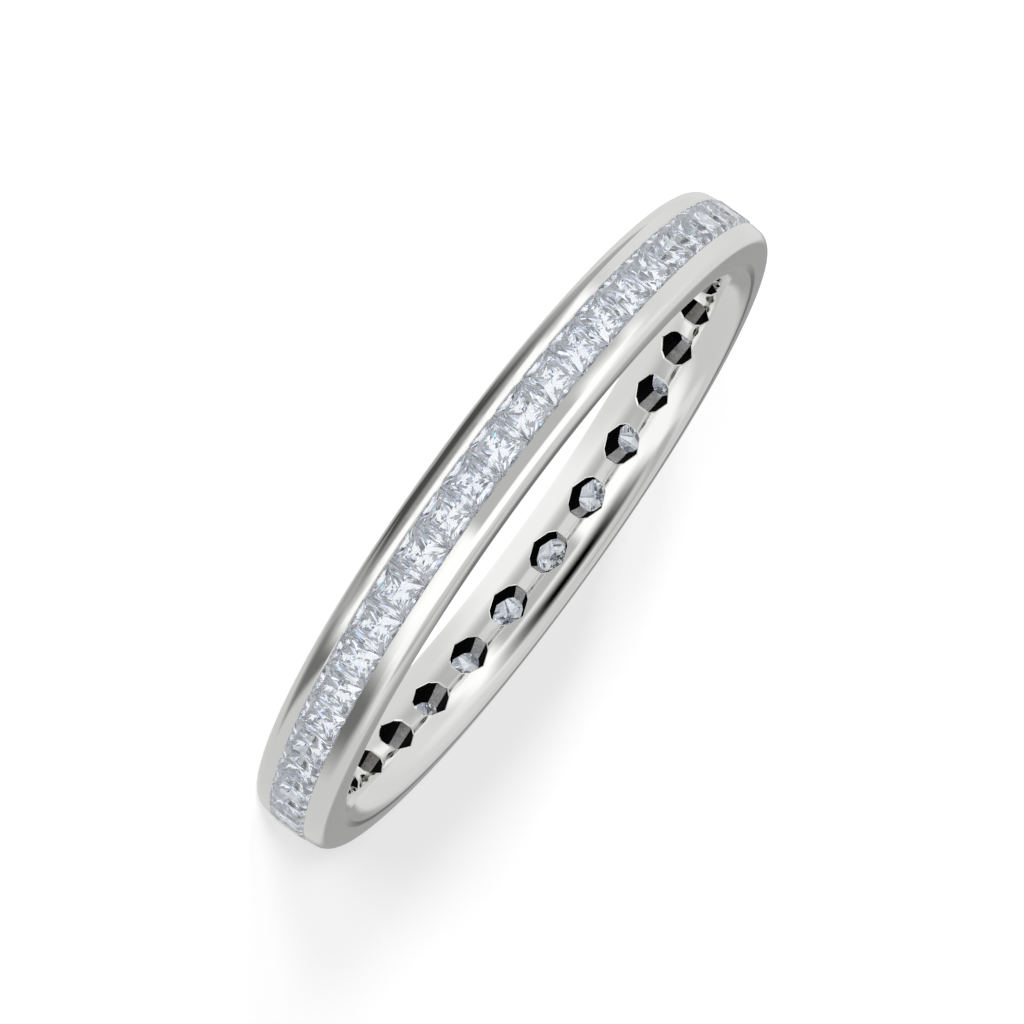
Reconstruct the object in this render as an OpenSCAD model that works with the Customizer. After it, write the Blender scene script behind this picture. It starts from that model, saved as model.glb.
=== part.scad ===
// Eternity ring: a channel-set band with square stones all the way round.
// It lies on one side face: the finger bore runs along Z, and the origin is
// on that face, in the middle of the bore. All sizes are in millimetres.

/* [Band] */
// Inside diameter, across the finger bore
finger_d = 16.5; // [15:0.5:20]
// Thickness of the wall, from the bore to the crown of the rails
wall_t = 1.65; // [1.65:0.05:1.8]
// Width of the band, along the finger
band_w = 2.3; // [2.25:0.05:2.6]
// Radius of the shallow dome across the two rails
crown_dome_r = 6; // [4:0.5:12]
// Radius of the two rounded edges at the crown of the rails
crown_edge_r = 0.38; // [0.3:0.02:0.44]
// Width of the flat land on each side, which the ring lies on
side_flat = 0.2; // [0.15:0.01:0.3]
// Length of the straight wall in the middle of the bore
bore_wall = 1.04; // [1.02:0.01:1.06]
// Radius of the two rounded edges at the bore, for a comfortable fit
bore_edge_r = 0.52; // [0.46:0.01:0.54]

/* [Channel] */
// Clear width between the two rails, where the stones show
channel_w = 1.09; // [1.07:0.01:1.1]
// Bevel along the inner lip of each rail
lip_bevel = 0.04; // [0.01:0.01:0.04]
// How far the groove for the girdles is cut sideways into each rail
groove_d = 0.05; // [0.04:0.005:0.06]
// Play of the groove above and below the girdles
groove_play = 0.02; // [0.015:0.005:0.03]
// Height of the sloping ledge below each groove
ledge_h = 0.16; // [0.14:0.01:0.2]
// Clear width of the channel below the ledges that carry the stones
well_w = 0.92; // [0.9:0.01:0.96]
// Thickness of metal between the channel's floor and the bore
floor_t = 0.85; // [0.75:0.01:0.87]

/* [Stones] */
// Number of stones in the full circle, one half of them over a gallery hole
stone_n = 56; // [48:2:58]
// Width of a stone across the band, at its girdle
stone_w = 1.12; // [1.11:0.005:1.13]
// Clear gap between neighbouring stones, at their girdles
stone_gap = 0.12; // [0.1:0.01:0.2]
// How far the tables stand above the crown of the rails
table_rise = 0.03; // [0:0.01:0.05]
// Width of the table, as a share of the stone's width
table_share = 0.7; // [0.6:0.01:0.75]
// Height of the crown, from the girdle to the table
crown_h = 0.13; // [0.12:0.005:0.14]
// Thickness of the girdle
girdle_t = 0.03; // [0.02:0.005:0.04]
// Depth of the pavilion, from the girdle to the culet
pavilion_h = 0.6; // [0.5:0.01:0.62]

/* [Gallery holes] */
// Width of a hole round the bore, at the bore
hole_w = 1.16; // [0.9:0.01:1.2]
// Height of a hole along the finger, at the bore
hole_h = 0.97; // [0.8:0.01:1]
// Size of a hole at the channel's floor, as a share of its size at the bore
hole_taper = 0.8; // [0.75:0.01:0.95]

/* [Hidden] */
$fn = 180;

// How far a cut runs past the metal
past = 0.2;
// Radii of the main round faces, from the bore outwards
bore_r = finger_d / 2;
crown_r = bore_r + wall_t;
floor_r = bore_r + floor_t;
table_r = crown_r + table_rise;
girdle_top_r = table_r - crown_h;
girdle_low_r = girdle_top_r - girdle_t;
// Centre of the dome across the rails, whose arc meets the channel's lips at the crown
dome_at = crown_r - sqrt(pow(crown_dome_r, 2) - pow(channel_w / 2, 2));
// Height of the middle of a crown edge above the middle of the band, and its radius
crown_edge_z = band_w / 2 - crown_edge_r;
crown_edge_at = dome_at + sqrt(pow(crown_dome_r - crown_edge_r, 2) - pow(crown_edge_z, 2));
// A side falls from its flat land to the bore edge in one shallow arc
side_top_at = crown_edge_at - side_flat;
side_run = side_top_at - bore_r - bore_edge_r;
side_fall = band_w / 2 - bore_wall / 2 - bore_edge_r;
side_dome_r = bore_edge_r + (pow(side_run, 2) + pow(side_fall, 2)) / (2 * side_fall);
// Tilt of the wall where that arc meets the bore edge, from upright
side_tilt = acos(side_run / (side_dome_r - bore_edge_r));
// Half of the angle that the dome across the rails spans
dome_span = asin(crown_edge_z / (crown_dome_r - crown_edge_r));
// Largest turn from one point of a rounded outline to the next
arc_step = 7.5;
// Middle of the band, where the stones and the holes lie
mid_z = band_w / 2;
// The groove takes the girdle, and below it the ledge slopes in beside the pavilion
groove_top_r = girdle_top_r + groove_play;
groove_low_r = girdle_low_r - groove_play;
ledge_low_r = groove_low_r - ledge_h;
// Stones are spaced evenly from +X on, and each second one has a hole behind it
stone_step = 360 / stone_n;
hole_n = stone_n / 2;
hole_step = 360 / hole_n;
// Shoulder of a hole's outline, as shares of half its width and half its height
hole_shoulder = [0.74, 0.67];
// Half length of a hole's straight flank, as a share of half its height
hole_flank = 0.35;
// The pavilion's sides swell out of a plain pyramid at this share of its depth
swell_depth = 0.42;
// Half size of the pavilion there, as a share of its half size at the girdle
swell_size = 0.64;
// Length of a stone round the band, at the low edge of its girdle
stone_l = 2 * girdle_low_r * tan(stone_step / 2) - stone_gap;

// Points of an arc about a middle point, after its first point and up to its last
function arc(at, r, from, to) =
    let (n = ceil(abs(to - from) / arc_step))
    [for (i = [1 : n])
        let (turn = from + (to - from) * i / n)
        at + r * [cos(turn), sin(turn)]];

// Upper half of the plain band's outline, from the bore over the side to the
// crown, in radius and height above the middle of the band
band_outline = concat(
    [[bore_r, bore_wall / 2]],
    arc([bore_r + bore_edge_r, bore_wall / 2], bore_edge_r, 180, 180 - side_tilt),
    arc([side_top_at, band_w / 2 - side_dome_r], side_dome_r, 180 - side_tilt, 90),
    [[crown_edge_at, band_w / 2]],
    arc([crown_edge_at, crown_edge_z], crown_edge_r, 90, dome_span),
    arc([dome_at, 0], crown_dome_r, dome_span, 0)
);

// A closed section from its upper half, mirrored about the middle of the band
module mirrored_section(half) {
    n = len(half);
    polygon(concat(
        [for (p = half) [p[0], mid_z + p[1]]],
        [for (i = [1 : n]) if (half[n - i][1] > 0) [half[n - i][0], mid_z - half[n - i][1]]]
    ));
}

// One side of the channel's section, from its floor up past the crown
channel_side = [
    [floor_r, well_w / 2],
    [ledge_low_r, well_w / 2],
    [groove_low_r, channel_w / 2 + groove_d],
    [groove_top_r, channel_w / 2 + groove_d],
    [groove_top_r, channel_w / 2],
    [crown_r - lip_bevel, channel_w / 2],
    [crown_r + past, channel_w / 2 + lip_bevel + past]
];

// Outline of a gallery hole: pointed above and below, with cut shoulders
module hole_outline() {
    tip = [0, hole_h / 2];
    shoulder = [hole_shoulder[0] * hole_w / 2, hole_shoulder[1] * hole_h / 2];
    flank = [hole_w / 2, hole_flank * hole_h / 2];
    polygon([
        tip, shoulder, flank,
        [flank[0], -flank[1]], [shoulder[0], -shoulder[1]],
        -tip, -shoulder, -flank,
        [-flank[0], flank[1]], [-shoulder[0], shoulder[1]]
    ]);
}

// One hole, cut from the bore out into the channel, narrowing on the way
module gallery_hole() {
    depth = floor_t + 2 * past;
    // Growth of the outline for each millimetre towards the bore
    slope = (1 - hole_taper) / floor_t;
    near = 1 + slope * past;
    far = hole_taper - slope * past;
    translate([bore_r - past, 0, mid_z])
        rotate([0, 90, 0])
            linear_extrude(height = depth, scale = far / near)
                scale(near)
                    rotate(90)
                        hole_outline();
}

// The cast band: two rails, the channel between them and the pierced gallery
module band() {
    color([0.82, 0.82, 0.8])
        difference() {
            rotate_extrude()
                mirrored_section(band_outline);
            rotate_extrude()
                mirrored_section(channel_side);
            for (i = [0 : hole_n - 1])
                rotate((i + 0.5) * hole_step)
                    gallery_hole();
        }
}

// Corners of a rectangle at one height, counted anticlockwise from above
function corners(x, y, z) = [[x, y, z], [-x, y, z], [-x, -y, z], [x, -y, z]];

// Middles of the four sides of that rectangle, from the side after corner 0
function middles(x, y, z) = [[0, y, z], [-x, 0, z], [0, -y, z], [x, 0, z]];

// One square-cut stone with its table at Z = 0: twelve facets in the crown
// round the table, a girdle, and twelve in the pavilion down to the culet
module stone() {
    x = stone_w / 2;
    y = stone_l / 2;
    girdle_top = -crown_h;
    girdle_low = girdle_top - girdle_t;
    culet = girdle_low - pavilion_h;
    swell_z = girdle_low - swell_depth * pavilion_h;
    points = concat(
        corners(table_share * x, table_share * y, 0),
        corners(x, y, girdle_top),
        middles(x, y, girdle_top),
        corners(x, y, girdle_low),
        middles(swell_size * x, swell_size * y, swell_z),
        [[0, 0, culet]]
    );
    // First point of each ring in the list above
    table0 = 0;
    top0 = 4;
    side0 = 8;
    low0 = 12;
    swell0 = 16;
    tip = 20;
    faces = concat(
        [[3, 2, 1, 0]],
        [for (i = [0 : 3]) [table0 + i, table0 + (i + 1) % 4, side0 + i]],
        [for (i = [0 : 3]) [table0 + i, side0 + i, top0 + i]],
        [for (i = [0 : 3]) [table0 + (i + 1) % 4, top0 + (i + 1) % 4, side0 + i]],
        [for (i = [0 : 3]) [
            side0 + i, top0 + (i + 1) % 4, low0 + (i + 1) % 4, low0 + i, top0 + i
        ]],
        [for (i = [0 : 3]) [low0 + i, low0 + (i + 1) % 4, swell0 + i]],
        [for (i = [0 : 3]) [low0 + i, swell0 + i, tip]],
        [for (i = [0 : 3]) [swell0 + i, low0 + (i + 1) % 4, tip]]
    );
    polyhedron(points, faces, convexity = 2);
}

// The full row of stones, each with its table square to the radius
module stones() {
    color([0.86, 0.9, 0.97])
        for (i = [0 : stone_n - 1])
            rotate(i * stone_step)
                translate([table_r, 0, mid_z])
                    rotate([0, 90, 0])
                        stone();
}

band();
stones();
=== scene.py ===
# %% [markdown]
# # A channel-set eternity ring
#
# This lesson dresses a finished CAD model of a ring: a slim polished band of white gold with
# 56 square stones in a channel all the way round, over a wall that is pierced behind every
# second stone. The CAD model stays as a fixed frame, and every piece here is made in its
# coordinates: metres, +Z along the finger, and the origin on the side that the ring lies on.
#
# The CAD file has the right shapes. What it lacks is what the eye looks for in a jewel:
# edges that catch light, mirror-smooth curves and real facets. So both of its solids are
# replaced by finer meshes of the same form.

# %% Load the frame
from math import asin, atan2, ceil, cos, degrees, pi, radians, sin, sqrt

import bmesh
import bpy
import numpy as np
from mathutils import Matrix, Quaternion, Vector


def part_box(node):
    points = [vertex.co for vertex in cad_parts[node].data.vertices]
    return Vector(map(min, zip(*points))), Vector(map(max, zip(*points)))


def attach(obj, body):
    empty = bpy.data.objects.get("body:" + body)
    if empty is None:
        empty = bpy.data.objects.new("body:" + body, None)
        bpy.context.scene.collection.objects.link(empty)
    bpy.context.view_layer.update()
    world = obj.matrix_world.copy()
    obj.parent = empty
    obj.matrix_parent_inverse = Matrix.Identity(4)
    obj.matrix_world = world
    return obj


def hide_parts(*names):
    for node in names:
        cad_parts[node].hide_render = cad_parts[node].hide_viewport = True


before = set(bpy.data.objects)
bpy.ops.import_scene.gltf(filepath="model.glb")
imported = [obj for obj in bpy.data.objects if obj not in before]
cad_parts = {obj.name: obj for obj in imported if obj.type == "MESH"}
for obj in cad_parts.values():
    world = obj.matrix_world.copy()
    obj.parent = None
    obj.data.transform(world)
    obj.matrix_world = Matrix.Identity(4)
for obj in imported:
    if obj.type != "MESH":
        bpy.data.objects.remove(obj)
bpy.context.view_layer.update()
scene = bpy.context.scene
print("CAD nodes:", sorted(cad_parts))

# %% [markdown]
# ## Sizes
#
# The sizes below are in millimetres, as a goldsmith thinks, and `MM` turns them into
# Blender's metres at the last moment. The band's width comes from the frame. The rest are
# the CAD model's own driving sizes: the radius of the finger hole, the wall, the metal below
# the channel, and the number of stones.

# %% Sizes
MM = 0.001
TURN = 2 * pi
band_low, band_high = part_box("band")
band_w = (band_high.z - band_low.z) / MM
mid_z = band_w / 2

bore_r = 8.25
wall_t = 1.65
floor_t = 0.85
crown_r = bore_r + wall_t
floor_r = bore_r + floor_t

stone_n = 56
hole_n = stone_n // 2
hole_step = TURN / hole_n
print(f"band {band_w:.2f} mm wide, {2 * crown_r:.1f} mm across, {stone_n} stones, {hole_n} holes")

# %% [markdown]
# ## The camera
#
# The ring is photographed from about 8.5 degrees above the table, with a long lens, and the
# picture is then rolled until the ring leans across it. The camera is placed first, because
# the light tent further down is laid out round it: its front is the side that the camera
# is on. The camera looks a hair beside the ring's middle, which puts the ring where it is
# in the frame.

# %% Camera
view_distance = 14 * crown_r
view_height = radians(8.486)
view_azimuth = radians(-82.62)
view_roll = radians(180 - 54.213)
frame_px = 1024
focal_px = 5306.3
sensor_mm = 36
aim_across = -0.165
aim_up = -0.235

toward_camera = Vector((
    cos(view_height) * cos(view_azimuth), cos(view_height) * sin(view_azimuth), sin(view_height)
))
across = Vector((-sin(view_azimuth), cos(view_azimuth), 0))
upward = toward_camera.cross(across)
ring_middle = Vector((0, 0, mid_z))
eye = ring_middle + toward_camera * view_distance
aim = ring_middle + across * aim_across + upward * aim_up


def put_in_scene(name, data):
    """An object with the given data, linked to the scene."""
    made = bpy.data.objects.new(name, data)
    scene.collection.objects.link(made)
    return made


camera = put_in_scene("camera", bpy.data.cameras.new("camera"))
camera.data.sensor_width = sensor_mm
camera.data.lens = focal_px * sensor_mm / frame_px
camera.data.clip_start = 0.01
camera.data.clip_end = 20
camera.location = eye * MM
camera.rotation_mode = "QUATERNION"
level = (aim - eye).to_track_quat("-Z", "Y")
camera.rotation_quaternion = level @ Quaternion((0, 0, 1), view_roll)
scene.camera = camera
print(f"camera {view_distance:.0f} mm away, lens {camera.data.lens:.0f} mm")

# %% [markdown]
# ## The band's section
#
# Cut the band across and each rail shows the same closed outline. From the straight middle
# of the bore it rounds outwards for a comfortable fit, climbs the side in one shallow arc to
# a narrow land, turns over a small edge, and crosses the crown as a very low dome.
#
# The outline is worked out as for the CAD solid: each arc starts where the last one ends and
# in the same direction. It stays within a few hundredths of a millimetre of that solid, but a
# buff leaves nothing quite flat, so the land and the bore's wall bulge a little. Every point
# carries its **lean**, the direction in which the polished surface faces there. A mirror
# shows every mistake in shading, and normals that come from a formula have none.

# %% Section outline
crown_dome_r = 6.0
crown_edge_r = 0.35
# The land is an arc that turns by only this much
land_r = 3.2
land_turn = radians(9)
# Up to the crest the bore is straight, and at the end of the wall its rounded edge starts
wall_half = 0.52
crest_half = 0.1
crest_r = 2.0
bore_edge_r = 0.55
channel_w = 1.09
lip_bevel = 0.04
arc_step = radians(5)

dome_at = crown_r - sqrt(crown_dome_r ** 2 - (channel_w / 2) ** 2)
land_stop = pi / 2 - land_turn
crown_edge_z = mid_z - land_r + (land_r - crown_edge_r) * sin(land_stop)
crown_edge_at = dome_at + sqrt((crown_dome_r - crown_edge_r) ** 2 - crown_edge_z ** 2)
side_top_at = crown_edge_at - (land_r - crown_edge_r) * cos(land_stop)
dome_span = asin(crown_edge_z / (crown_dome_r - crown_edge_r))
lip_lean = asin((channel_w / 2 + lip_bevel) / crown_dome_r)

crest_stop = pi - asin((wall_half - crest_half) / crest_r)
edge_at = bore_r + crest_r + (crest_r - bore_edge_r) * cos(crest_stop)
edge_z = crest_half + (crest_r - bore_edge_r) * sin(crest_stop)
side_run = side_top_at - edge_at
side_fall = mid_z - edge_z - bore_edge_r
side_dome_r = bore_edge_r + (side_run ** 2 + side_fall ** 2) / (2 * side_fall)
side_dome_z = mid_z - side_dome_r
edge_stop = atan2(edge_z - side_dome_z, edge_at - side_top_at)


def bore_at(z):
    """Radius and lean of the bore's wall at a height above the middle: straight, then a soft crest."""
    tilt = asin(max(abs(z) - crest_half, 0) / crest_r)
    return bore_r + crest_r * (1 - cos(tilt)), (pi - tilt) * (1 if z >= 0 else -1)


def arc(middle, radius, start, stop):
    """Points (radius, height, lean) of an arc, after its first point and up to its last."""
    count = ceil(abs(stop - start) / arc_step)
    leans = [start + (stop - start) * i / count for i in range(1, count + 1)]
    return [(middle[0] + radius * cos(a), middle[1] + radius * sin(a), a) for a in leans]


def polished_outline():
    """Upper half of the band's outside, from the bore over the side to the channel's lip."""
    points = [(bore_at(wall_half)[0], wall_half, crest_stop)]
    points += arc((edge_at, edge_z), bore_edge_r, crest_stop, edge_stop)
    points += arc((side_top_at, side_dome_z), side_dome_r, edge_stop, pi / 2)
    points += arc((side_top_at, mid_z - land_r), land_r, pi / 2, land_stop)
    points += arc((crown_edge_at, crown_edge_z), crown_edge_r, land_stop, dome_span)
    points += arc((dome_at, 0), crown_dome_r, dome_span, lip_lean)
    return points


skin = polished_outline()
print(f"{len(skin)} points in half a section, side dome {side_dome_r:.2f} mm")

# %% [markdown]
# ## The channel
#
# Between the rails runs the channel. A setter cuts a groove into each rail with a bur,
# snaps the stones' edges into the two grooves and burnishes the lips down over them. So
# the section goes on from the lip: a bevel, a short wall, the groove, a ledge that slopes
# in under the stone, and the well down to the channel's floor. These faces are cut straight
# and meet at sharp corners, so each takes its lean from its own two points.

# %% Channel outline
groove_depth = 0.05
groove_top_r = 9.82
groove_low_r = 9.75
ledge_h = 0.16
ledge_low_r = groove_low_r - ledge_h
well_w = 0.92

channel = [
    (skin[-1][0], skin[-1][1]),
    (crown_r - lip_bevel, channel_w / 2),
    (groove_top_r, channel_w / 2),
    (groove_top_r, channel_w / 2 + groove_depth),
    (groove_low_r, channel_w / 2 + groove_depth),
    (ledge_low_r, well_w / 2),
    (floor_r, well_w / 2),
]
print(f"channel {channel_w} mm wide at the stones and {well_w} mm below them")

# %% [markdown]
# ## One bay of the band
#
# The band is one casting, but it repeats: the same **bay** comes 28 times, a piece of both
# rails with one gallery hole in its middle. So only one bay is modelled, and the whole band
# is an array of it.
#
# The rails of a bay are a sweep, the section turned through the bay's angle. Each face's
# corners take their lean from the outline's points, in a corner attribute that sets the
# normals later. A face that is flat in every direction, such as a hole's wall, gets `NO_LEAN`
# instead, a value that no direction has.

# %% Helpers for a bay's mesh
bay_steps = 16
bay_angles = [hole_step * (i / bay_steps - 0.5) for i in range(bay_steps + 1)]
NO_LEAN = 10.0


def on_ring(radius, angle, z):
    """A point at a radius and an angle about the finger's axis, in millimetres."""
    return Vector((radius * cos(angle), radius * sin(angle), z))


def mesh_from(bm, name):
    """A plain mesh from an edited one, which is then freed."""
    mesh = bpy.data.meshes.new(name)
    bm.to_mesh(mesh)
    bm.free()
    return mesh


def add_face(bm, points, leans=None, inner=False):
    """Adds a face from its corners, each with its lean, or flat where none are given."""
    lean_layer = bm.loops.layers.float["lean"]
    face = bm.faces.new([bm.verts.new(p) for p in points])
    face[bm.faces.layers.int["inner"]] = int(inner)
    for i, loop in enumerate(face.loops):
        loop[lean_layer] = NO_LEAN if leans is None else leans[i]


def sweep_strip(bm, start, stop, leans):
    """Sweeps the line between two section points (radius, height) through the bay."""
    for a, b in zip(bay_angles, bay_angles[1:]):
        corners = [
            on_ring(point[0], angle, mid_z + point[1])
            for point, angle in ((start, a), (start, b), (stop, b), (stop, a))
        ]
        add_face(bm, corners, [leans[0], leans[0], leans[1], leans[1]])


def sweep_rails(bm):
    """Both rails of a bay: the polished outside and the cut faces of the channel."""
    for side in (1, -1):
        outside = [(r, side * z, side * lean) for r, z, lean in skin]
        inside = [(r, side * z) for r, z in channel]
        for p, q in zip(outside, outside[1:]):
            sweep_strip(bm, p, q, (p[2], q[2]))
        for p, q in zip(inside, inside[1:]):
            lean = atan2(side * (q[0] - p[0]), side * (p[1] - q[1]))
            sweep_strip(bm, p, q, (lean, lean))


# %% [markdown]
# ## The gallery hole
#
# Behind every second stone the wall is pierced, which saves gold and lets light and water
# through. Seen from the bore the hole is a ten-cornered shape, pointed above and below, and
# it narrows on its way out to the channel.
#
# A hole in a curved wall is the one place where a plain sweep fails. Here the wall between
# the bay's border and the hole is filled by rings that morph from one outline to the other.
# Both outlines get the same number of points, and each corner of the hole takes the border
# point that lies nearest to it by angle, so that no quad is badly twisted. All points are
# put on the bore's own surface, so it stays truly round.

# %% Hole outline
hole_w = 1.16
hole_h = 0.97
hole_taper = 0.8
rim_bevel = 0.03
border_rows = 8
hole_corners = [
    (0, 1), (-0.74, 0.67), (-1, 0.35), (-1, -0.35), (-0.74, -0.67),
    (0, -1), (0.74, -0.67), (1, -0.35), (1, 0.35), (0.74, 0.67),
]


def border_outline(radius, half_height):
    """Points (arc length, height) round a bay's wall, anticlockwise from the corner at +, +."""
    edge = bay_angles[-1] * radius
    across_top = [(a * radius, half_height) for a in reversed(bay_angles[1:])]
    down_side = [(-edge, half_height * (1 - 2 * i / border_rows)) for i in range(border_rows)]
    half = across_top + down_side
    return half + [(-s, -z) for s, z in half]


def hole_outline(size):
    """The hole's outline at a scale, with as many points as the border has."""
    border = border_outline(bore_r, wall_half)
    corners = [Vector((size * x * hole_w / 2, size * z * hole_h / 2)) for x, z in hole_corners]
    count = len(border)

    def gap(point, corner):
        turn = atan2(point[1], point[0]) - atan2(corner.y, corner.x)
        return abs((turn + pi) % TURN - pi)

    seats = [min(range(count), key=lambda i: gap(border[i], c)) for c in corners]
    outline = [None] * count
    for k, corner in enumerate(corners):
        following = corners[(k + 1) % len(corners)]
        steps = (seats[(k + 1) % len(corners)] - seats[k]) % count
        for i in range(steps):
            outline[(seats[k] + i) % count] = corner.lerp(following, i / steps)
    return outline


print(f"hole outline: {len(hole_outline(1))} points")

# %% Pierced wall
wall_rings = 6
floor_rings = 2
rim_middle = 0.3


def hole_size_at(depth):
    """The hole's size at a depth below the bore, as a share of its size at the bore."""
    return 1 - (1 - hole_taper) * depth / (floor_r - bore_r)


def on_bore(outline, depth=0.0):
    """Wraps flat (arc length, height) points on to the bore's wall, or to a depth below it."""
    ring = []
    for s, z in outline:
        radius, lean = bore_at(z)
        ring.append((on_ring(radius + depth, s / bore_r, mid_z + z), lean))
    return ring


def on_floor(outline):
    """Wraps flat points on to the channel's floor, which faces outwards."""
    return [(on_ring(floor_r, s / floor_r, mid_z + z), 0.0) for s, z in outline]


def fill_between(bm, outer, inner_ring, smooth=True, inner=False):
    """Joins two rings with the same number of points by quads."""
    count = len(outer)
    for i in range(count):
        j = (i + 1) % count
        corners = [outer[i], outer[j], inner_ring[j], inner_ring[i]]
        leans = [lean for _, lean in corners] if smooth else None
        add_face(bm, [point for point, _ in corners], leans, inner)


def morph(border, hole, share):
    """The outline that lies a share of the way from the border to the hole."""
    return [(b[0] + (h[0] - b[0]) * share, b[1] + (h[1] - b[1]) * share) for b, h in zip(border, hole)]


def pierce_gallery(bm):
    """The wall between bore and channel with its hole, whose rim has a rounded edge."""
    rim_share = 2 * rim_bevel / hole_h
    border = border_outline(bore_r, wall_half)
    first_rim = hole_outline(1 + rim_share)
    rings = [on_bore(morph(border, first_rim, k / wall_rings)) for k in range(wall_rings + 1)]
    for outer, inner_ring in zip(rings, rings[1:]):
        fill_between(bm, outer, inner_ring)

    rim = [
        on_bore(hole_outline(1 + rim_middle * rim_share), rim_middle * rim_bevel),
        on_bore(hole_outline(hole_size_at(rim_bevel)), rim_bevel),
    ]
    for outer, inner_ring in zip([rings[-1]] + rim, rim):
        fill_between(bm, outer, inner_ring, smooth=False)

    half_way = (floor_r - bore_r) / 2
    walls = [
        rim[-1],
        on_bore(hole_outline(hole_size_at(half_way)), half_way),
        on_floor(hole_outline(hole_taper)),
    ]
    for outer, inner_ring in zip(walls, walls[1:]):
        fill_between(bm, outer, inner_ring, smooth=False, inner=True)

    border = border_outline(floor_r, well_w / 2)
    last_rim = hole_outline(hole_taper)
    rings = [on_floor(morph(border, last_rim, k / floor_rings)) for k in range(floor_rings + 1)]
    for outer, inner_ring in zip(rings, rings[1:]):
        fill_between(bm, outer, inner_ring)


# %% Build one bay
weld_gap = 0.0005


def make_bay():
    """One bay as a mesh in metres, with the hole's middle on the +X axis."""
    bm = bmesh.new()
    bm.loops.layers.float.new("lean")
    bm.faces.layers.int.new("inner")
    sweep_rails(bm)
    pierce_gallery(bm)
    bmesh.ops.remove_doubles(bm, verts=bm.verts, dist=weld_gap)
    bmesh.ops.recalc_face_normals(bm, faces=bm.faces)
    bmesh.ops.scale(bm, vec=(MM, MM, MM), verts=bm.verts)
    return mesh_from(bm, "bay")


bay = make_bay()
print(f"bay: {len(bay.polygons)} faces")

# %% [markdown]
# ## White gold
#
# Polished white gold is nearly a mirror, slightly warm, and it never stays perfect: the
# polishing buff leaves the surface faintly wavy and lined along the way it ran, and wear adds
# hairline scratches and patches that are a little duller. All of that is far too fine for
# geometry, so it is bump and roughness.
#
# The buff runs round the ring. So the fine lines read a direction made from the object's
# own coordinates: the unit vector round the ring moves slowly, while radius and height
# move fast. There is no seam, because no angle is ever unwrapped.

# %% Node helpers
def add_node(tree, kind, inputs=None, **settings):
    """Adds a node, sets its options, and fills its inputs with values or links."""
    made = tree.nodes.new(kind)
    for name, value in settings.items():
        setattr(made, name, value)
    for key, value in (inputs or {}).items():
        if isinstance(value, bpy.types.NodeSocket):
            tree.links.new(value, made.inputs[key])
        else:
            made.inputs[key].default_value = value
    return made


def calc(tree, operation, *values):
    """A Math node's result."""
    inputs = dict(enumerate(values))
    return add_node(tree, "ShaderNodeMath", inputs, operation=operation).outputs[0]


def blank_material(name, values=None):
    """A material that has only a shader with the given values, and its output."""
    material = bpy.data.materials.new(name)
    material.use_nodes = True
    tree = material.node_tree
    tree.nodes.clear()
    shader = add_node(tree, "ShaderNodeBsdfPrincipled", values)
    add_node(tree, "ShaderNodeOutputMaterial", {"Surface": shader.outputs["BSDF"]})
    return material, tree, shader


# %% Helpers for values, colours and places
def soft_step(tree, value, low, high):
    """Rises smoothly from 0 to 1 between two values."""
    return add_node(
        tree, "ShaderNodeMapRange", {"Value": value, "From Min": low, "From Max": high},
        interpolation_type="SMOOTHSTEP").outputs[0]


def stretch(tree, value, low, high, new_low, new_high):
    """Maps the range between two values on to another one."""
    return add_node(
        tree, "ShaderNodeMapRange",
        {"Value": value, "From Min": low, "From Max": high,
         "To Min": new_low, "To Max": new_high}).outputs[0]


def mix_values(tree, share, first, second, label=""):
    """Goes from the first value to the second as the share goes from 0 to 1."""
    return add_node(
        tree, "ShaderNodeMix", {"Factor": share, 2: first, 3: second}, label=label).outputs[0]


def mix_colours(tree, share, first, second):
    """The same for two colours."""
    return add_node(
        tree, "ShaderNodeMix", {"Factor": share, 6: first, 7: second}, data_type="RGBA").outputs[2]


def noise(tree, place, scale, detail):
    """Smooth noise about a middle of 0.5."""
    return add_node(
        tree, "ShaderNodeTexNoise",
        {"Vector": place, "Scale": scale, "Detail": detail}).outputs["Fac"]


def parts_of(tree, vector):
    """The three parts of a vector, as sockets."""
    return add_node(tree, "ShaderNodeSeparateXYZ", {0: vector}).outputs


def own_place(tree):
    """The place on the object, in the object's own metres."""
    return add_node(tree, "ShaderNodeTexCoord").outputs["Object"]


def own_place_mm(tree):
    """The same in millimetres."""
    return add_node(
        tree, "ShaderNodeVectorMath", {0: own_place(tree), "Scale": 1 / MM},
        operation="SCALE").outputs[0]


# %% Hairline scratches
scratch_turns = ((0.1, 0.5, 0.3), (0.4, -0.9, 1.9), (1.2, 0.3, -0.8))
scratch_scale = (0.75, 60, 60)
scratch_reach = 0.25
scratch_share = 0.012


def hairlines(tree, in_mm):
    """Short thin scratches in three directions: 1 in a scratch and 0 on the sound surface."""
    found = []
    for turn in scratch_turns:
        turned = add_node(tree, "ShaderNodeMapping", {"Vector": in_mm, "Rotation": turn})
        stretched = add_node(
            tree, "ShaderNodeVectorMath", {0: turned.outputs[0], 1: scratch_scale},
            operation="MULTIPLY")
        cells = add_node(
            tree, "ShaderNodeTexVoronoi", {"Vector": stretched.outputs[0], "Scale": 1})
        pick = add_node(tree, "ShaderNodeSeparateColor", {"Color": cells.outputs["Color"]})
        chosen = calc(tree, "LESS_THAN", pick.outputs[0], scratch_share)
        close = calc(tree, "LESS_THAN", cells.outputs["Distance"], scratch_reach)
        found.append(calc(tree, "MULTIPLY", chosen, close))
    return calc(tree, "MAXIMUM", calc(tree, "MAXIMUM", found[0], found[1]), found[2])


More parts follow.
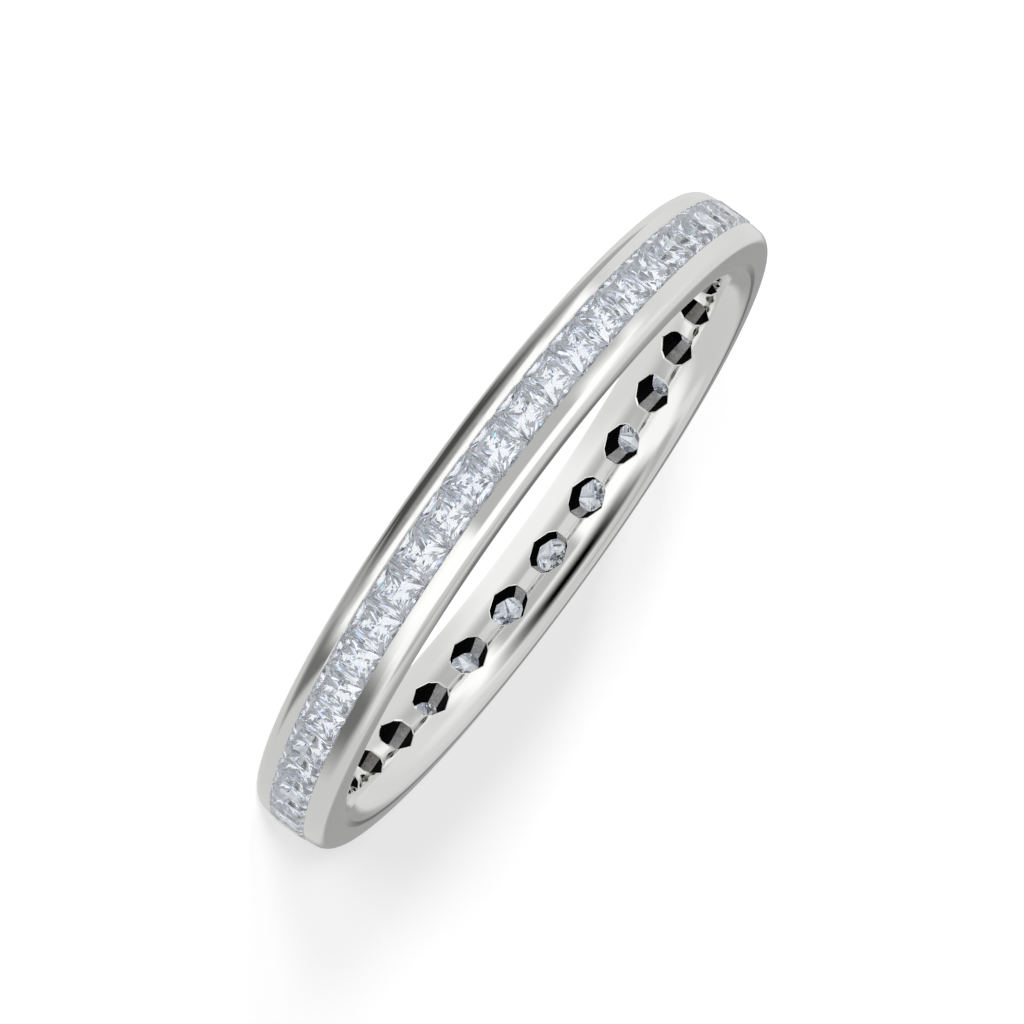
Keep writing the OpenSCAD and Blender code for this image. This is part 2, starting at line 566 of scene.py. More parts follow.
# %% White gold
gold_colour = (0.81, 0.81, 0.795, 1)
gold_roughness = 0.045
gold_roughness_play = 0.05
wave_height = 0.0009 * MM
line_height = 0.00012 * MM
scratch_height = 0.0002 * MM
scratch_roughness = 0.06
wave_scale = 0.9
line_scale = 9
line_stretch = 4
wear_scale = 2.2
wear_from = 0.45
wear_to = 0.75


def white_gold():
    """Polished white gold with buffing waves, fine lines round the ring and hairlines."""
    material, tree, shader = blank_material(
        "white_gold", {"Base Color": gold_colour, "Metallic": 1})
    in_mm = own_place_mm(tree)
    x, y, z = parts_of(tree, in_mm)
    radius = calc(
        tree, "SQRT", calc(tree, "ADD", calc(tree, "MULTIPLY", x, x), calc(tree, "MULTIPLY", y, y)))
    along = add_node(
        tree, "ShaderNodeCombineXYZ",
        {0: calc(tree, "DIVIDE", x, radius), 1: calc(tree, "DIVIDE", y, radius),
         2: calc(tree, "MULTIPLY", z, line_stretch)})
    lines = add_node(
        tree, "ShaderNodeTexNoise",
        {"Vector": along.outputs[0], "W": calc(tree, "MULTIPLY", radius, line_stretch),
         "Scale": line_scale, "Detail": 3},
        noise_dimensions="4D")
    wear = noise(tree, in_mm, wear_scale, 5)
    hairs = hairlines(tree, in_mm)

    rough = stretch(
        tree, wear, wear_from, wear_to, gold_roughness, gold_roughness + gold_roughness_play)
    rough = calc(tree, "ADD", rough, calc(tree, "MULTIPLY", hairs, scratch_roughness))
    tree.links.new(rough, shader.inputs["Roughness"])

    bump = None
    for height, distance in (
        (noise(tree, in_mm, wave_scale, 1), wave_height),
        (lines.outputs["Fac"], line_height),
        (hairs, -scratch_height),
    ):
        inputs = {"Height": height, "Distance": abs(distance), "Strength": 1}
        made = add_node(tree, "ShaderNodeBump", inputs, invert=distance < 0)
        if bump:
            tree.links.new(bump.outputs[0], made.inputs["Normal"])
        bump = made
    tree.links.new(bump.outputs[0], shader.inputs["Normal"])
    return material


gold = white_gold()
print("made", gold.name)

# %% [markdown]
# ## The dull metal in the holes
#
# A polishing buff doesn't reach through the gallery holes. Their walls keep the grey skin of
# the casting, and hardly any light gets out again. The upright flanks of each hole still catch
# some, while its sloping shoulders get painted shade: their colour is black, and that draws the
# dark edge round each hole. A faint painted glow stands for the light that bounces about in
# there more often than a ray does.

# %% Cast skin and painted shade
# Strength of a painted glow that stands for light bounced about in the holes
painted_bounce_glow = 0.1
painted_glow_colour = (1, 0.97, 0.93, 1)
# Painted shade: the black that the holes' shoulders get
painted_shade_black = (0.004, 0.004, 0.004, 1)
cast_grey = (0.78, 0.76, 0.73, 1)
grain_scale = 12 / MM
grain_height = 0.004 * MM
grain_shade = 0.6
grain_roughness = (0.2, 0.4)
# Share of a face's normal that points up or down, on a flank and on a shoulder
flank_rise = 0.1
shoulder_rise = 0.6


def cast_skin_with_painted_shade():
    """Unpolished metal in the holes: grainy and grey on upright faces with a painted glow, and painted
    shade, black, on the others.
    """
    material, tree, shader = blank_material(
        "cast_skin_with_painted_shade", {"Specular IOR Level": 0, "Emission Color": painted_glow_colour})
    grain = noise(tree, own_place(tree), grain_scale, 3)
    facing = add_node(tree, "ShaderNodeNewGeometry").outputs["True Normal"]
    up_down = calc(tree, "ABSOLUTE", parts_of(tree, facing)[2])
    upright = calc(tree, "SUBTRACT", 1, soft_step(tree, up_down, flank_rise, shoulder_rise))
    light = calc(tree, "MULTIPLY", upright, stretch(tree, grain, 0, 1, grain_shade, 1))
    # Painted shade: where a face is not upright, its colour goes to black
    colour = mix_colours(tree, light, painted_shade_black, cast_grey)
    tree.links.new(colour, shader.inputs["Base Color"])
    tree.links.new(upright, shader.inputs["Metallic"])
    # Painted glow on the upright flanks, for light bounced about in the hole
    tree.links.new(calc(tree, "MULTIPLY", light, painted_bounce_glow), shader.inputs["Emission Strength"])
    material.cycles.emission_sampling = "NONE"
    tree.links.new(stretch(tree, grain, 0, 1, *grain_roughness), shader.inputs["Roughness"])
    bump = add_node(
        tree, "ShaderNodeBump", {"Height": grain, "Distance": grain_height, "Strength": 1})
    tree.links.new(bump.outputs[0], shader.inputs["Normal"])
    return material


lining_with_painted_shade = cast_skin_with_painted_shade()
print("made", lining_with_painted_shade.name)

# %% [markdown]
# ## An array with Geometry Nodes
#
# Bays and stones both repeat evenly round the finger, so one Geometry Nodes tree serves
# both. It makes one point for each copy, moves it out to a radius, turns the copy to face
# outwards, and can tip it by a small random angle from a fixed seed, as no two hand-set
# stones sit alike. Each copy also gets a random number of its own, which a material may
# read. Instances are made real at the end, because files for other programs can't hold
# them, and doubled points between neighbours are merged.

# %% Ring array tree
def ring_array_tree():
    """A node group that sets copies of a mesh evenly round the Z axis."""
    tree = bpy.data.node_groups.new("ring_array", "GeometryNodeTree")
    face = tree.interface
    face.new_socket("Geometry", in_out="OUTPUT", socket_type="NodeSocketGeometry")
    face.new_socket("Geometry", in_out="INPUT", socket_type="NodeSocketGeometry")
    for name, kind in (
        ("Count", "Int"), ("First Angle", "Float"), ("Radius", "Float"), ("Tip", "Float"),
        ("Seed", "Int"), ("Merge Distance", "Float"),
        ("Material", "Material"), ("Inner Material", "Material"),
    ):
        face.new_socket(name, in_out="INPUT", socket_type=f"NodeSocket{kind}")
    given = add_node(tree, "NodeGroupInput").outputs

    index = add_node(tree, "GeometryNodeInputIndex").outputs[0]
    angle = calc(tree, "ADD", given["First Angle"], calc(
        tree, "DIVIDE", calc(tree, "MULTIPLY", index, TURN), given["Count"]))
    place = add_node(tree, "ShaderNodeCombineXYZ", {
        0: calc(tree, "MULTIPLY", calc(tree, "COSINE", angle), given["Radius"]),
        1: calc(tree, "MULTIPLY", calc(tree, "SINE", angle), given["Radius"])})
    points = add_node(
        tree, "GeometryNodePoints", {"Count": given["Count"], "Position": place.outputs[0]})

    turn = add_node(tree, "ShaderNodeCombineXYZ", {2: angle})
    facing = add_node(tree, "FunctionNodeEulerToRotation", {0: turn.outputs[0]})
    tips = []
    for offset in range(3):
        seed = calc(tree, "ADD", given["Seed"], offset)
        tips.append(add_node(
            tree, "FunctionNodeRandomValue",
            {"Min": calc(tree, "MULTIPLY", given["Tip"], -1), "Max": given["Tip"],
             "ID": index, "Seed": seed}).outputs["Value"])
    tip_euler = add_node(tree, "ShaderNodeCombineXYZ", dict(enumerate(tips)))
    tipped = add_node(
        tree, "FunctionNodeRotateRotation",
        {"Rotation": facing.outputs[0],
         "Rotate By": add_node(tree, "FunctionNodeEulerToRotation", {0: tip_euler.outputs[0]}).outputs[0]},
        rotation_space="LOCAL")

    copies = add_node(
        tree, "GeometryNodeInstanceOnPoints",
        {"Points": points.outputs[0], "Instance": given["Geometry"], "Rotation": tipped.outputs[0]})
    chance = add_node(tree, "FunctionNodeRandomValue", {"Seed": given["Seed"], "ID": index})
    named = add_node(
        tree, "GeometryNodeStoreNamedAttribute",
        {"Geometry": copies.outputs[0], "Name": "chance", "Value": chance.outputs["Value"]},
        data_type="FLOAT", domain="INSTANCE")
    real = add_node(tree, "GeometryNodeRealizeInstances", {0: named.outputs[0]})
    merged = add_node(
        tree, "GeometryNodeMergeByDistance",
        {"Geometry": real.outputs[0], "Distance": given["Merge Distance"]})
    painted = add_node(
        tree, "GeometryNodeSetMaterial", {"Geometry": merged.outputs[0], "Material": given["Material"]})
    inner = add_node(tree, "GeometryNodeInputNamedAttribute", {"Name": "inner"}, data_type="INT")
    lined = add_node(
        tree, "GeometryNodeSetMaterial",
        {"Geometry": painted.outputs[0], "Selection": inner.outputs["Attribute"],
         "Material": given["Inner Material"]})
    add_node(tree, "NodeGroupOutput", {"Geometry": lined.outputs[0]})
    return tree


array_tree = ring_array_tree()
socket_ids = {s.name: s.identifier for s in array_tree.interface.items_tree if s.in_out == "INPUT"}
print("array inputs:", socket_ids)


# %% Run the array on a mesh
def ring_of(mesh, name, **values):
    """A piece made of copies of a mesh round the ring, as one plain mesh."""
    piece = put_in_scene(name, mesh)
    modifier = piece.modifiers.new("ring_array", "NODES")
    modifier.node_group = array_tree
    for key, value in values.items():
        modifier[socket_ids[key.replace("_", " ").title()]] = value
    depsgraph = bpy.context.evaluated_depsgraph_get()
    result = bpy.data.meshes.new_from_object(piece.evaluated_get(depsgraph), depsgraph=depsgraph)
    piece.modifiers.clear()
    piece.data = result
    result.name = name
    return piece


bay_gap = 0.0004 * MM
band = ring_of(
    bay, "dressed_band", count=hole_n, first_angle=hole_step / 2, radius=0.0, tip=0.0,
    seed=1, merge_distance=bay_gap, material=gold, inner_material=lining_with_painted_shade)
print(f"band: {len(band.data.vertices)} points, {len(band.data.polygons)} faces")


# %% Normals of the polished surfaces
def set_ring_normals(mesh):
    """Gives each corner the normal that its lean says, and flat faces their own normal."""
    count = len(mesh.loops)
    lean = np.zeros(count, np.float32)
    mesh.attributes["lean"].data.foreach_get("value", lean)
    corner_vertex = np.zeros(count, np.int32)
    mesh.loops.foreach_get("vertex_index", corner_vertex)
    place = np.zeros(len(mesh.vertices) * 3, np.float32)
    mesh.vertices.foreach_get("co", place)
    place = place.reshape(-1, 3)[corner_vertex]
    angle = np.arctan2(place[:, 1], place[:, 0])

    face_normal = np.zeros(len(mesh.polygons) * 3, np.float32)
    mesh.polygons.foreach_get("normal", face_normal)
    size = np.zeros(len(mesh.polygons), np.int32)
    mesh.polygons.foreach_get("loop_total", size)
    flat = np.repeat(face_normal.reshape(-1, 3), size, axis=0)
    leaning = np.stack(
        [np.cos(lean) * np.cos(angle), np.cos(lean) * np.sin(angle), np.sin(lean)], axis=1)
    normals = np.where((lean == NO_LEAN)[:, None], flat, leaning)
    agree = (normals * flat).sum(axis=1)

    mesh.attributes.remove(mesh.attributes["lean"])
    mesh.shade_smooth()
    mesh.normals_split_custom_set(normals)
    return agree.min()


least = set_ring_normals(band.data)
print(f"least agreement of a set normal with its face: {least:.3f}")

# %% [markdown]
# ## One princess-cut stone
#
# The square stones are princess cuts. The crown is low with a large table. Below the thin
# girdle each side of the pavilion is a stack of chevrons: facets that fan out from the two
# corners and meet on the side's middle line, getting flatter towards the culet. They throw
# the light back out as the bright cross with small dark steps beside it.
#
# A cut gem is convex, so it is the hull of its facets' corners. The points come from
# a short table, one row for each chevron: how far out it meets the middle line, and how
# deep. `convex_hull` finds the facets, and dissolving the flat edges between triangles of
# one plane leaves each facet as one clean face.

# %% Princess cut
stone_w = 1.12
stone_l = 1.075
table_rise = 0.03
table_r = crown_r + table_rise
table_share = 0.7
crown_h = 0.13
girdle_t = 0.03
pavilion_h = 0.53
break_share = 0.86
break_depth = 0.06
chevrons = [
    # out from the middle, depth, both as shares
    (0.74, 0.33),
    (0.47, 0.59),
    (0.21, 0.83),
]


def princess_cut():
    """One stone with its table facing +Z at height 0, in millimetres."""
    x, y = stone_w / 2, stone_l / 2
    girdle_top = -crown_h
    girdle_low = girdle_top - girdle_t
    points = [(0, 0, girdle_low - pavilion_h)]
    for sx, sy in ((1, 1), (-1, 1), (-1, -1), (1, -1)):
        points.append((sx * x, sy * y, girdle_top))
        points.append((sx * x, sy * y, girdle_low))
        points.append((sx * table_share * x, sy * table_share * y, 0))
    for ux, uy in ((1, 0), (0, 1), (-1, 0), (0, -1)):
        points.append((ux * break_share * x, uy * break_share * y, -break_depth))
        for out, depth in chevrons:
            points.append((ux * out * x, uy * out * y, girdle_low - depth * pavilion_h))
    bm = bmesh.new()
    for p in points:
        bm.verts.new(p)
    bmesh.ops.convex_hull(bm, input=bm.verts)
    flat_turn = radians(0.2)
    bmesh.ops.dissolve_limit(bm, angle_limit=flat_turn, verts=bm.verts, edges=bm.edges)
    bmesh.ops.recalc_face_normals(bm, faces=bm.faces)
    return bm


# %% Seat the stone
def seated_stone():
    """The stone in metres with its table facing +X, as the array expects its copies."""
    bm = princess_cut()
    to_seat = Matrix.Rotation(pi / 2, 4, "Y")
    bmesh.ops.transform(bm, matrix=Matrix.Scale(MM, 4) @ to_seat, verts=bm.verts)
    return mesh_from(bm, "stone")


stone = seated_stone()
print(f"stone: {len(stone.polygons)} facets, {len(stone.vertices)} corners")

# %% [markdown]
# ## Diamond
#
# A clean stone is clear, and what the eye sees is light that came in, bounced inside and went
# out again. The refractive index of 2.417 does the work. The surface keeps a trace of
# polishing, and each stone has its own very slight tint, from the array's random number.
#
# Some light bounces a dozen times before it finds its way out, but a ray is followed for
# `most_bounces` only. Where it is dropped there would be black, and the stones would look
# dirty. So the last facet that a ray meets gives a weak even glow instead.

# %% Diamond
most_bounces = 8
lost_light = 0.2
lost_colour = (0.92, 0.96, 1.04, 1)
diamond_ior = 2.417
cool_tint = (0.90, 0.94, 1.0, 1)
pale_tint = (0.95, 0.97, 1.0, 1)
polish_scale = 4 / MM
polish_from = 0.5
polish_to = 0.8
polish_roughness = 0.03
stone_tip = radians(0.8)
black = (0, 0, 0, 1)


def diamond():
    """Clear diamond with a cool tint that differs a little from stone to stone."""
    material, tree, shader = blank_material(
        "diamond", {"IOR": diamond_ior, "Transmission Weight": 1, "Emission Color": lost_colour})
    chance = add_node(tree, "ShaderNodeAttribute", attribute_name="chance").outputs["Fac"]
    tint = mix_colours(tree, chance, cool_tint, pale_tint)
    depth = add_node(tree, "ShaderNodeLightPath").outputs["Ray Depth"]
    lost = calc(tree, "GREATER_THAN", depth, most_bounces - 0.5)
    tree.links.new(mix_colours(tree, lost, tint, black), shader.inputs["Base Color"])
    tree.links.new(calc(tree, "MULTIPLY", lost, lost_light), shader.inputs["Emission Strength"])
    material.cycles.emission_sampling = "NONE"
    polish = noise(tree, own_place(tree), polish_scale, 2)
    rough = stretch(tree, polish, polish_from, polish_to, 0, polish_roughness)
    tree.links.new(rough, shader.inputs["Roughness"])
    return material


stones = ring_of(
    stone, "princess_stones", count=stone_n, first_angle=0.0, radius=table_r * MM, tip=stone_tip,
    seed=7, merge_distance=0.0, material=diamond())
for vertex in stones.data.vertices:
    vertex.co.z += mid_z * MM
stones.data.shade_flat()
print(f"stones: {len(stones.data.polygons)} facets")

# %% [markdown]
# ## The light tent
#
# Jewellery is photographed inside a tent of white cloth, with lamps behind the cloth and dark
# cards that draw lines into the metal. The metal is a mirror, so its look is nothing but this
# tent. It is painted on the world by direction, as a stack of soft **washes** over plain
# cloth. Each row gives a wash's brightness and its four edges, in degrees of azimuth from
# the camera (to the left of it is positive) and of elevation, each with its softness.

# %% Washes of the tent
tent_cloth = 0.70
tent_washes = [
    # name, brightness, edges in azimuth (right, left), edges in elevation (low, high)
    ("right side", 0.80, (-166, 14), (-80, 20), (-60, 12), (74, 10)),
    ("right side, middle", 0.86, (-128, 16), (-80, 20), (-50, 10), (50, 10)),
    ("right shoulder", 0.97, (-110, 24), (-40, 10), (33, 9), (72, 8)),
    ("left band", 0.86, (84, 12), (150, 12), (47, 4), (57, 3)),
    ("left hollow", 0.54, (96, 12), (190, 2), (59, 3), (69, 4)),
    ("left shoulder", 1.14, (30, 20), (92, 14), (4, 6), (58, 8)),
    ("front cloth", 1.23, (-73, 12), (50, 11), (1, 4), (66, 9)),
    ("front cloth, low right", 1.20, (-72, 6), (-50, 6), (3, 2), (14, 5)),
    ("front cloth, high", 1.23, (-60, 30), (26, 14), (30, 6), (76, 7)),
    ("top", 0.86, (-190, 1), (190, 1), (84, 8), (95, 1)),
    ("below", 0.47, (-118, 8), (112, 10), (-95, 1), (-22.9, 0.5)),
    ("below, sides", 0.42, (-190, 1), (190, 1), (-95, 1), (-56, 10)),
    ("below, front", 0.08, (-66, 34), (44, 14), (-95, 1), (-29, 22)),
    ("straight down", 0.09, (-140, 16), (150, 12), (-95, 1), (-72, 6)),
    ("slot", 1.22, (-52, 6), (40, 6), (-22.8, 0.6), (-12, 5)),
    ("slot, ends", 1.22, (-76, 6), (69, 6), (-21.3, 0.6), (-12, 5)),
    ("horizon", 0.57, (-43, 6), (9, 4), (-3, 3), (22, 7)),
    ("horizon, right", 0.60, (-66, 5), (-38, 4), (-6, 2), (4, 3)),
    ("behind", 0.39, (163, 5), (190, 1), (-8, 4), (22, 8)),
    ("behind, right", 0.38, (-190, 1), (-168, 4), (-8, 4), (22, 8)),
    ("behind, middle", 0.19, (178.4, 0.6), (190, 1), (9, 4), (21, 5)),
    ("behind, middle right", 0.19, (-190, 1), (-177.4, 0.6), (9, 4), (21, 5)),
]
# The world's colours are kept below 1 by this scale, which its strength makes good
tent_scale = 2.0
# What diffuse surfaces get of the tent, because the cloth glows only where the metal needs it
table_share_of_light = 0.36


def soft_window(tree, value, low, high):
    """1 between two edges and 0 outside, each edge given with its softness."""
    rise = soft_step(tree, value, low[0] - low[1], low[0] + low[1])
    fall = soft_step(tree, value, high[0] - high[1], high[0] + high[1])
    return calc(tree, "MULTIPLY", rise, calc(tree, "SUBTRACT", 1, fall))


def paint_tent(tree, azimuth, elevation):
    """The tent's brightness, wash over wash, as the metal sees it."""
    light = tent_cloth / tent_scale
    for name, brightness, right, left, low, high in tent_washes:
        strength = calc(
            tree, "MULTIPLY", soft_window(tree, azimuth, right, left),
            soft_window(tree, elevation, low, high))
        light = mix_values(tree, strength, light, brightness / tent_scale, label=name)
    return light


print("washes:", len(tent_washes))

# %% [markdown]
# ## The tent as the stones see it
#
# A stone gathers light from all round, so it shows what the smooth washes leave out: the
# seams, clamps and gaps of a studio. Rays that went through a stone see a fine mosaic of light
# and shade instead, with a few coloured sparks, and calmer at the back.

# %% Mosaic for the stones
fire_cells = 15
fire_low = 0.06
fire_high = 1.32
# Noise values that are shown as the darkest and as the brightest of the mosaic
fire_shade = 0.40
fire_shine = 0.60
# Away from the camera, between these two azimuths, the mosaic fades to one brightness
calm_from = 90
calm_to = 150
calm_most = 0.75
fire_calm = 0.72
spark_share = 0.05
spark_strength = 0.6
spark_fading = 0.8
cool_light = (0.90, 0.95, 1.07, 1)
warm_light = (1.0, 0.98, 0.95, 1)


def paint_fire(tree, direction, azimuth):
    """A fine mosaic of cool light and shade with a few coloured sparks, calmer at the back."""
    mosaic = noise(tree, direction, fire_cells, 3)
    level = stretch(tree, mosaic, fire_shade, fire_shine, fire_low, fire_high)
    away = soft_step(tree, calc(tree, "ABSOLUTE", azimuth), calm_from, calm_to)
    calm = calc(tree, "MULTIPLY", calm_most, away)
    level = mix_values(tree, calm, level, fire_calm)
    cells = add_node(tree, "ShaderNodeTexVoronoi", {"Vector": direction, "Scale": fire_cells})
    pick = add_node(tree, "ShaderNodeSeparateColor", {"Color": cells.outputs["Color"]})
    spark = calc(
        tree, "MULTIPLY", calc(tree, "LESS_THAN", pick.outputs[0], spark_share),
        calc(tree, "SUBTRACT", spark_strength, calc(tree, "MULTIPLY", calm, spark_fading)))
    cool = mix_colours(tree, calm, cool_light, warm_light)
    colour = mix_colours(tree, spark, cool, cells.outputs["Color"])
    inputs = {0: colour, "Scale": calc(tree, "DIVIDE", level, tent_scale)}
    return add_node(tree, "ShaderNodeVectorMath", inputs, operation="SCALE").outputs[0]


# %% Light tent
def light_tent():
    """Paints the tent on the world, turned so that its front faces the camera."""
    world = bpy.data.worlds.new("light_tent")
    scene.world = world
    world.use_nodes = True
    tree = world.node_tree
    tree.nodes.clear()
    seen = add_node(tree, "ShaderNodeTexCoord").outputs["Generated"]
    turned = add_node(
        tree, "ShaderNodeVectorRotate", {"Vector": seen, "Angle": -view_azimuth},
        rotation_type="Z_AXIS").outputs[0]
    x, y, z = parts_of(tree, turned)
    azimuth = calc(tree, "DEGREES", calc(tree, "ARCTAN2", y, x))
    elevation = calc(tree, "DEGREES", calc(tree, "ARCSINE", z))

    path = add_node(tree, "ShaderNodeLightPath").outputs
    painted = mix_colours(
        tree, path["Is Transmission Ray"],
        paint_tent(tree, azimuth, elevation), paint_fire(tree, turned, azimuth))
    dimmed = stretch(
        tree, path["Is Diffuse Ray"], 0, 1, tent_scale, tent_scale * table_share_of_light)
    light = add_node(tree, "ShaderNodeBackground", {"Color": painted, "Strength": dimmed})
    add_node(tree, "ShaderNodeOutputWorld", {"Surface": light.outputs[0]})


light_tent()
print("tent turned to", round(degrees(view_azimuth), 1), "degrees")

# %% [markdown]
# ## Dark cards near the ring
#
# Two marks in the metal come from dark cards that hang close to the ring, where a photographer
# clamps them just out of the picture. One hangs over the ring and draws the dark crescent along
# its far rim. The other stands on the left and draws a dark patch on both rails, with a level
# slit in it that keeps the light band between them. Each is an oval sheet whose edge fades out,
# so its mirror image does too. It is clear from behind and from the far side of the ring, and
# only the first mirror-like reflection sees it.

# %% Dark cards
front = Vector((toward_camera.x, toward_camera.y, 0)).normalized()
above = Vector((0, 0, 1))
card_tilt = radians(55)
card_rings = 9
card_turns = 48
slit_soft = 0.35
# Ray depth between the first reflection and the second
first_only = 1.5


def card_finish(name, core, light, farthest, slit):
    """Dark inside the core. Clear at the edge, in the slit, from behind and for far or later rays."""
    material, tree, shader = blank_material(name)
    tree.nodes.remove(shader)
    out = next(n for n in tree.nodes if n.type == "OUTPUT_MATERIAL")
    reach = add_node(tree, "ShaderNodeAttribute", attribute_name="reach").outputs["Fac"]
    path = add_node(tree, "ShaderNodeLightPath").outputs
    reasons = [
        add_node(tree, "ShaderNodeNewGeometry").outputs["Backfacing"],
        calc(tree, "GREATER_THAN", path["Ray Length"], farthest * MM),
        calc(tree, "GREATER_THAN", path["Ray Depth"], first_only),
    ]
    if slit:
        height = parts_of(tree, own_place_mm(tree))[2]
        reasons.append(soft_window(tree, height, (slit[0], slit_soft), (slit[1], slit_soft)))
    clear = soft_step(tree, reach, core, 1)
    for reason in reasons:
        clear = calc(tree, "MAXIMUM", clear, reason)
    cloth = add_node(tree, "ShaderNodeEmission", {"Strength": light})
    nothing = add_node(tree, "ShaderNodeBsdfTransparent")
    mixed = add_node(
        tree, "ShaderNodeMixShader", {0: clear, 1: cloth.outputs[0], 2: nothing.outputs[0]})
    tree.links.new(mixed.outputs[0], out.inputs["Surface"])
    return material


def rounded(value, power):
    """A cosine or sine, bent so that an oval drawn with it comes near to a rectangle."""
    return abs(value) ** (2 / power) * (1 if value >= 0 else -1)


def dark_card(name, middle, side, up, core, power=4, light=0.0, farthest=100, slit=None):
    """An oval sheet from its middle, its two half axes and the share of them that its core takes."""
    bm = bmesh.new()
    layer = bm.verts.layers.float.new("reach")
    rows = []
    for k in range(1, card_rings + 1):
        share = k / card_rings
        row = []
        for i in range(card_turns):
            a = TURN * i / card_turns
            spot = middle + share * (side * rounded(cos(a), power) + up * rounded(sin(a), power))
            vertex = bm.verts.new(spot * MM)
            vertex[layer] = share
            row.append(vertex)
        rows.append(row)
    bm.faces.new(rows[0])
    for row, after in zip(rows, rows[1:]):
        for i in range(card_turns):
            j = (i + 1) % card_turns
            bm.faces.new((row[i], after[i], after[j], row[j]))
    mesh = mesh_from(bm, name)
    card = put_in_scene(name, mesh)
    mesh.materials.append(card_finish(name, core, light, farthest, slit))
    card.visible_camera = False
    card.visible_diffuse = False
    card.visible_transmission = False
    card.visible_shadow = False
    return card


# %% Hang the cards
down_card = front * cos(card_tilt) - above * sin(card_tilt)
cards = [
    dark_card(
        "card_above", middle=across * -0.2 - front * 3.1 + above * 13.6,
        side=across * 7.3, up=down_card * 10.7, core=0.11),
    dark_card(
        "card_left", middle=across * 20 + front * 10.3 - above * 2,
        side=front * 10.5, up=above * 26, core=0.2,
        power=2, light=0.19, farthest=25.5, slit=(-4.3, 0.1)),
]
print("cards:", [card.name for card in cards])

# %% [markdown]
# ## Table and lamps
#
# The ring lies on a plain white table that glows a little, as a light table does, and so keeps
# the shadow pale. The lamps stand low near the camera, one a little higher than the other
# three, and draw the long soft shadow behind the ring. The metal reflects neither the lamps
# nor the table: in a tent the cloth would hide them. Inside the ring lies a disc of paper that
# is lit from below, because hardly any light of the lamps gets there. The polished bore
# mirrors this paper with painted light and shade on it: a grey ring of painted shade where the
# ring's shade would fall, and far and near ends brightened by painted light.

# %% Table
table_radius = 3.0
table_drop = 0.003
table_glow = 0.38
table_white = (0.9, 0.9, 0.9, 1)
disc_corners = 128


def flat_disc(name, radius, height, material):
    """A plain disc at a height, in metres."""
    bm = bmesh.new()
    bmesh.ops.create_circle(bm, cap_ends=True, segments=disc_corners, radius=radius)
    for vertex in bm.verts:
        vertex.co.z = height
    bmesh.ops.recalc_face_normals(bm, faces=bm.faces)
    mesh = mesh_from(bm, name)
    mesh.materials.append(material)
    return put_in_scene(name, mesh)


def paper(name, glow=0.0):
    """Matt white paper with an even white glow."""
    material, tree, shader = blank_material(name, {
        "Base Color": table_white, "Roughness": 1, "Specular IOR Level": 0,
        "Emission Color": (1, 1, 1, 1), "Emission Strength": glow})
    material.cycles.emission_sampling = "NONE"
    return material, tree, shader


table_paper = paper("table_paper", table_glow)[0]
table = flat_disc("table", table_radius, -table_drop * MM, table_paper)
table.visible_glossy = False
print("table", table_radius, "m in radius")

# %% Lit paper in the ring
disc_radius = 9.2
paper_drop = 0.0015
paper_white = (0.78, 0.78, 0.78, 1)
paper_glow = 0.75
# How bright the metal mirrors the paper, its grey ring of painted shade and the painted light that its far
# and near ends add
mirrored_light = 0.83
mirrored_painted_shade = 0.57
mirrored_painted_light = 0.24
# Places on the paper: distances from its middle, and from its middle line for the painted light of the
# ends
painted_shade_from = (3.4, 1.2)
painted_shade_to = (6.6, 1.2)
painted_light_from = 6.6
painted_light_to = 7.7
painted_light_core = 1.5
painted_light_edge = 4.2


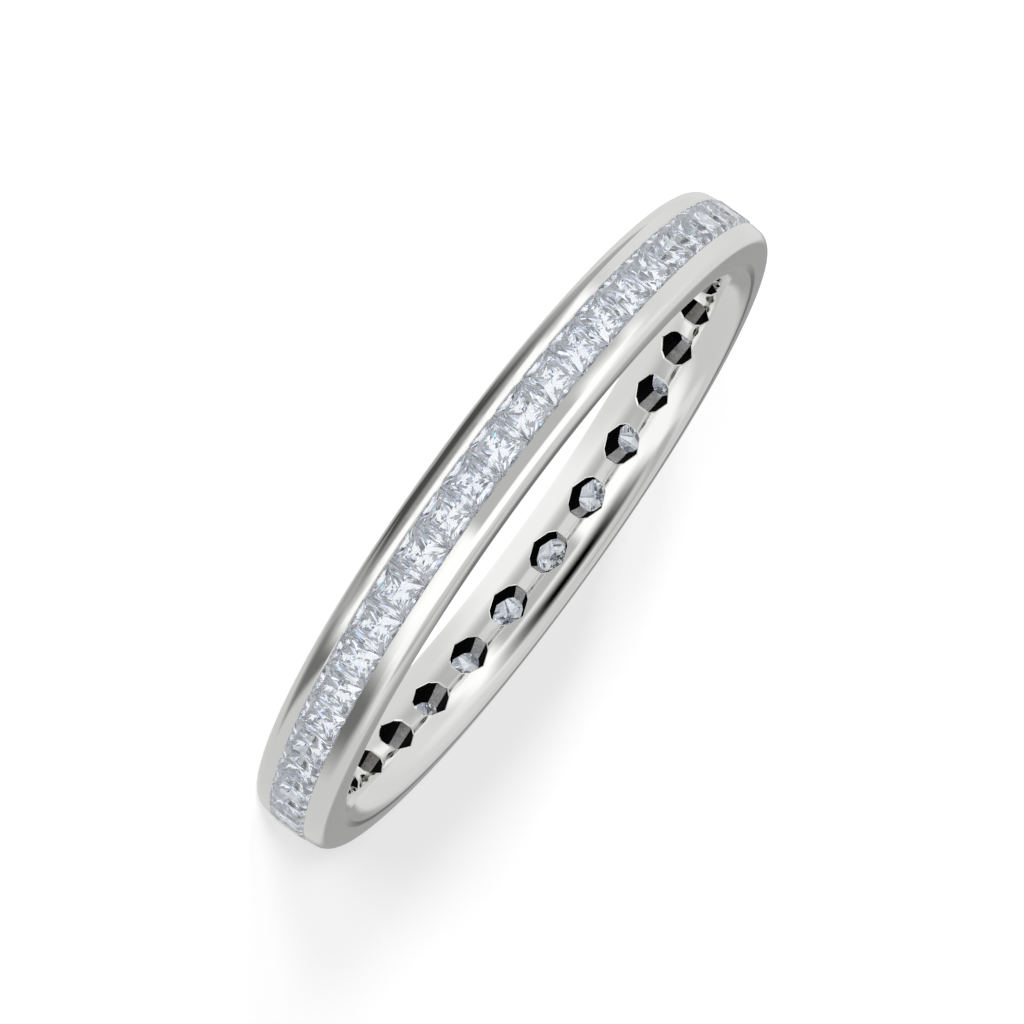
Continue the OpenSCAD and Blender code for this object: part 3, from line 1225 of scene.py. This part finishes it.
def lit_paper():
    """Paper lit from below. Mirrored in the metal, it has a grey ring of painted shade and two ends
    brightened by painted light.
    """
    material, tree, shader = paper("lit_paper")
    in_mm = own_place_mm(tree)
    radius = add_node(tree, "ShaderNodeVectorMath", {0: in_mm}, operation="LENGTH").outputs["Value"]
    aside = calc(tree, "ABSOLUTE", add_node(
        tree, "ShaderNodeVectorMath", {0: in_mm, 1: across}, operation="DOT_PRODUCT").outputs["Value"])
    # Painted shade: a grey ring in the paper as the metal mirrors it
    grey = soft_window(tree, radius, painted_shade_from, painted_shade_to)
    mirrored = mix_values(tree, grey, mirrored_light, mirrored_painted_shade)
    # Painted light: brighter far and near ends of the paper as the metal mirrors it
    ends = calc(
        tree, "MULTIPLY", soft_step(tree, radius, painted_light_from, painted_light_to),
        calc(tree, "SUBTRACT", 1, soft_step(tree, aside, painted_light_core, painted_light_edge)))
    mirrored = calc(tree, "ADD", mirrored, calc(tree, "MULTIPLY", ends, mirrored_painted_light))
    glossy = add_node(tree, "ShaderNodeLightPath").outputs["Is Glossy Ray"]
    glow = mix_values(tree, glossy, paper_glow, mirrored)
    tree.links.new(glow, shader.inputs["Emission Strength"])
    colour = mix_colours(tree, glossy, paper_white, black)
    tree.links.new(colour, shader.inputs["Base Color"])
    return material


lit_disc = flat_disc("lit_disc", disc_radius * MM, -paper_drop * MM, lit_paper())
print("lit paper", disc_radius, "mm in radius")

# %% Lamps
def add_lamp(name, turn, height, spread, strength):
    """A far lamp, placed by angles from the camera, which metal and stones don't reflect."""
    lamp = bpy.data.lights.new(name, "SUN")
    lamp.energy = strength
    lamp.angle = radians(spread)
    made = put_in_scene(name, lamp)
    around = view_azimuth + radians(turn)
    tall = radians(height)
    toward = Vector((cos(tall) * cos(around), cos(tall) * sin(around), sin(tall)))
    made.rotation_mode = "QUATERNION"
    made.rotation_quaternion = toward.to_track_quat("Z", "Y")
    made.visible_glossy = False
    made.visible_transmission = False


add_lamp("lamp_front", turn=-8, height=9, spread=3, strength=2.2)
for number, turn in enumerate((-18, -11, -4)):
    add_lamp(f"lamp_low_{number}", turn, height=2.6, spread=4.5, strength=7.4)
print("lamps:", len(bpy.data.lights))

# %% [markdown]
# ## Picture settings
#
# A view transform that keeps whites white suits a product picture. A ray is followed for as
# many bounces as the diamond's material counts, so that its last hit is the one that glows.

# %% Picture settings
scene.view_settings.view_transform = "Standard"
scene.cycles.max_bounces = most_bounces
scene.cycles.glossy_bounces = most_bounces
scene.cycles.transmission_bounces = most_bounces
scene.cycles.caustics_reflective = True
scene.cycles.caustics_refractive = True

# %% [markdown]
# ## Tie the pieces to the frame
#
# Each new piece rides on the ring's one body, and the CAD solid that it stands for is hidden.
# Table, paper and cards are only stage.

# %% Tie the pieces to the frame
for piece, node, slot_name in ((band, "band", "white_metal"), (stones, "stones", "stone")):
    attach(piece, "root")
    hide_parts(node)
